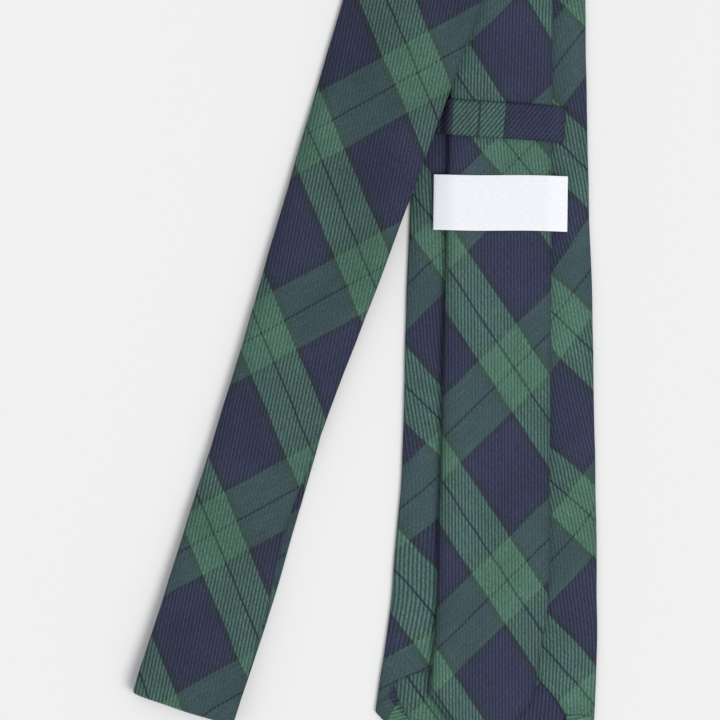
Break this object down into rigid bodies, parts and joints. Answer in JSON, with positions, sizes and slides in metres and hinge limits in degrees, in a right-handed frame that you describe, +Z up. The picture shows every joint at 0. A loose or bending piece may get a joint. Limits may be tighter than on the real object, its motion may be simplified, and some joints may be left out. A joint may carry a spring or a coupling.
{
  "type": "necktie",
  "caption": "Self-tipped tartan twill necktie folded flat, its narrow end threaded through the keeper loop and under a blank label on the back of the wide end.",
  "frame": {"origin": "middle of the shoulder line of the wide end, where its point begins, on the face that lies on the table", "axes": "+Y from the point of the wide end towards the top fold, +X across the tie to the right with the wide end's back facing up, +Z up off the table"},
  "size_m": [0.1598, 0.3916, 0.0116],
  "materials": {
    "tartan_twill": "silky ribbed twill in a navy, green and black tartan",
    "interlining": "brushed wool canvas",
    "navy_thread": "twisted sewing thread",
    "label_satin": "white woven satin, blank",
    "white_thread": "twisted sewing thread"
  },
  "bodies": {
    "wide_half": {"blade_shell": "tartan_twill", "blade_interlining": "interlining", "blade_tipping": "tartan_twill", "blade_slip_stitch": "navy_thread", "blade_bar_tack": "navy_thread", "neck_shell_lower": "tartan_twill", "tail_shell": "tartan_twill", "tail_interlining": "interlining", "tail_tipping": "tartan_twill", "tail_slip_stitch": "navy_thread", "tail_bar_tack": "navy_thread", "keeper_loop": "tartan_twill", "keeper_tack_left": "navy_thread", "keeper_tack_right": "navy_thread", "label": "label_satin", "label_stitch_left": "white_thread", "label_stitch_right": "white_thread"},
    "neck_half": {"blade_shell_upper": "tartan_twill", "neck_shell": "tartan_twill", "neck_interlining": "interlining", "neck_slip_stitch": "navy_thread"}
  },
  "joints": [
    {"name": "top_fold", "type": "hinge", "parent": "wide_half", "child": "neck_half", "pos_m": [0.00916, 0.3504, 0.0058], "axis": [-0.986, 0.1666, 0], "range_deg": [0, 180]}
  ]
}
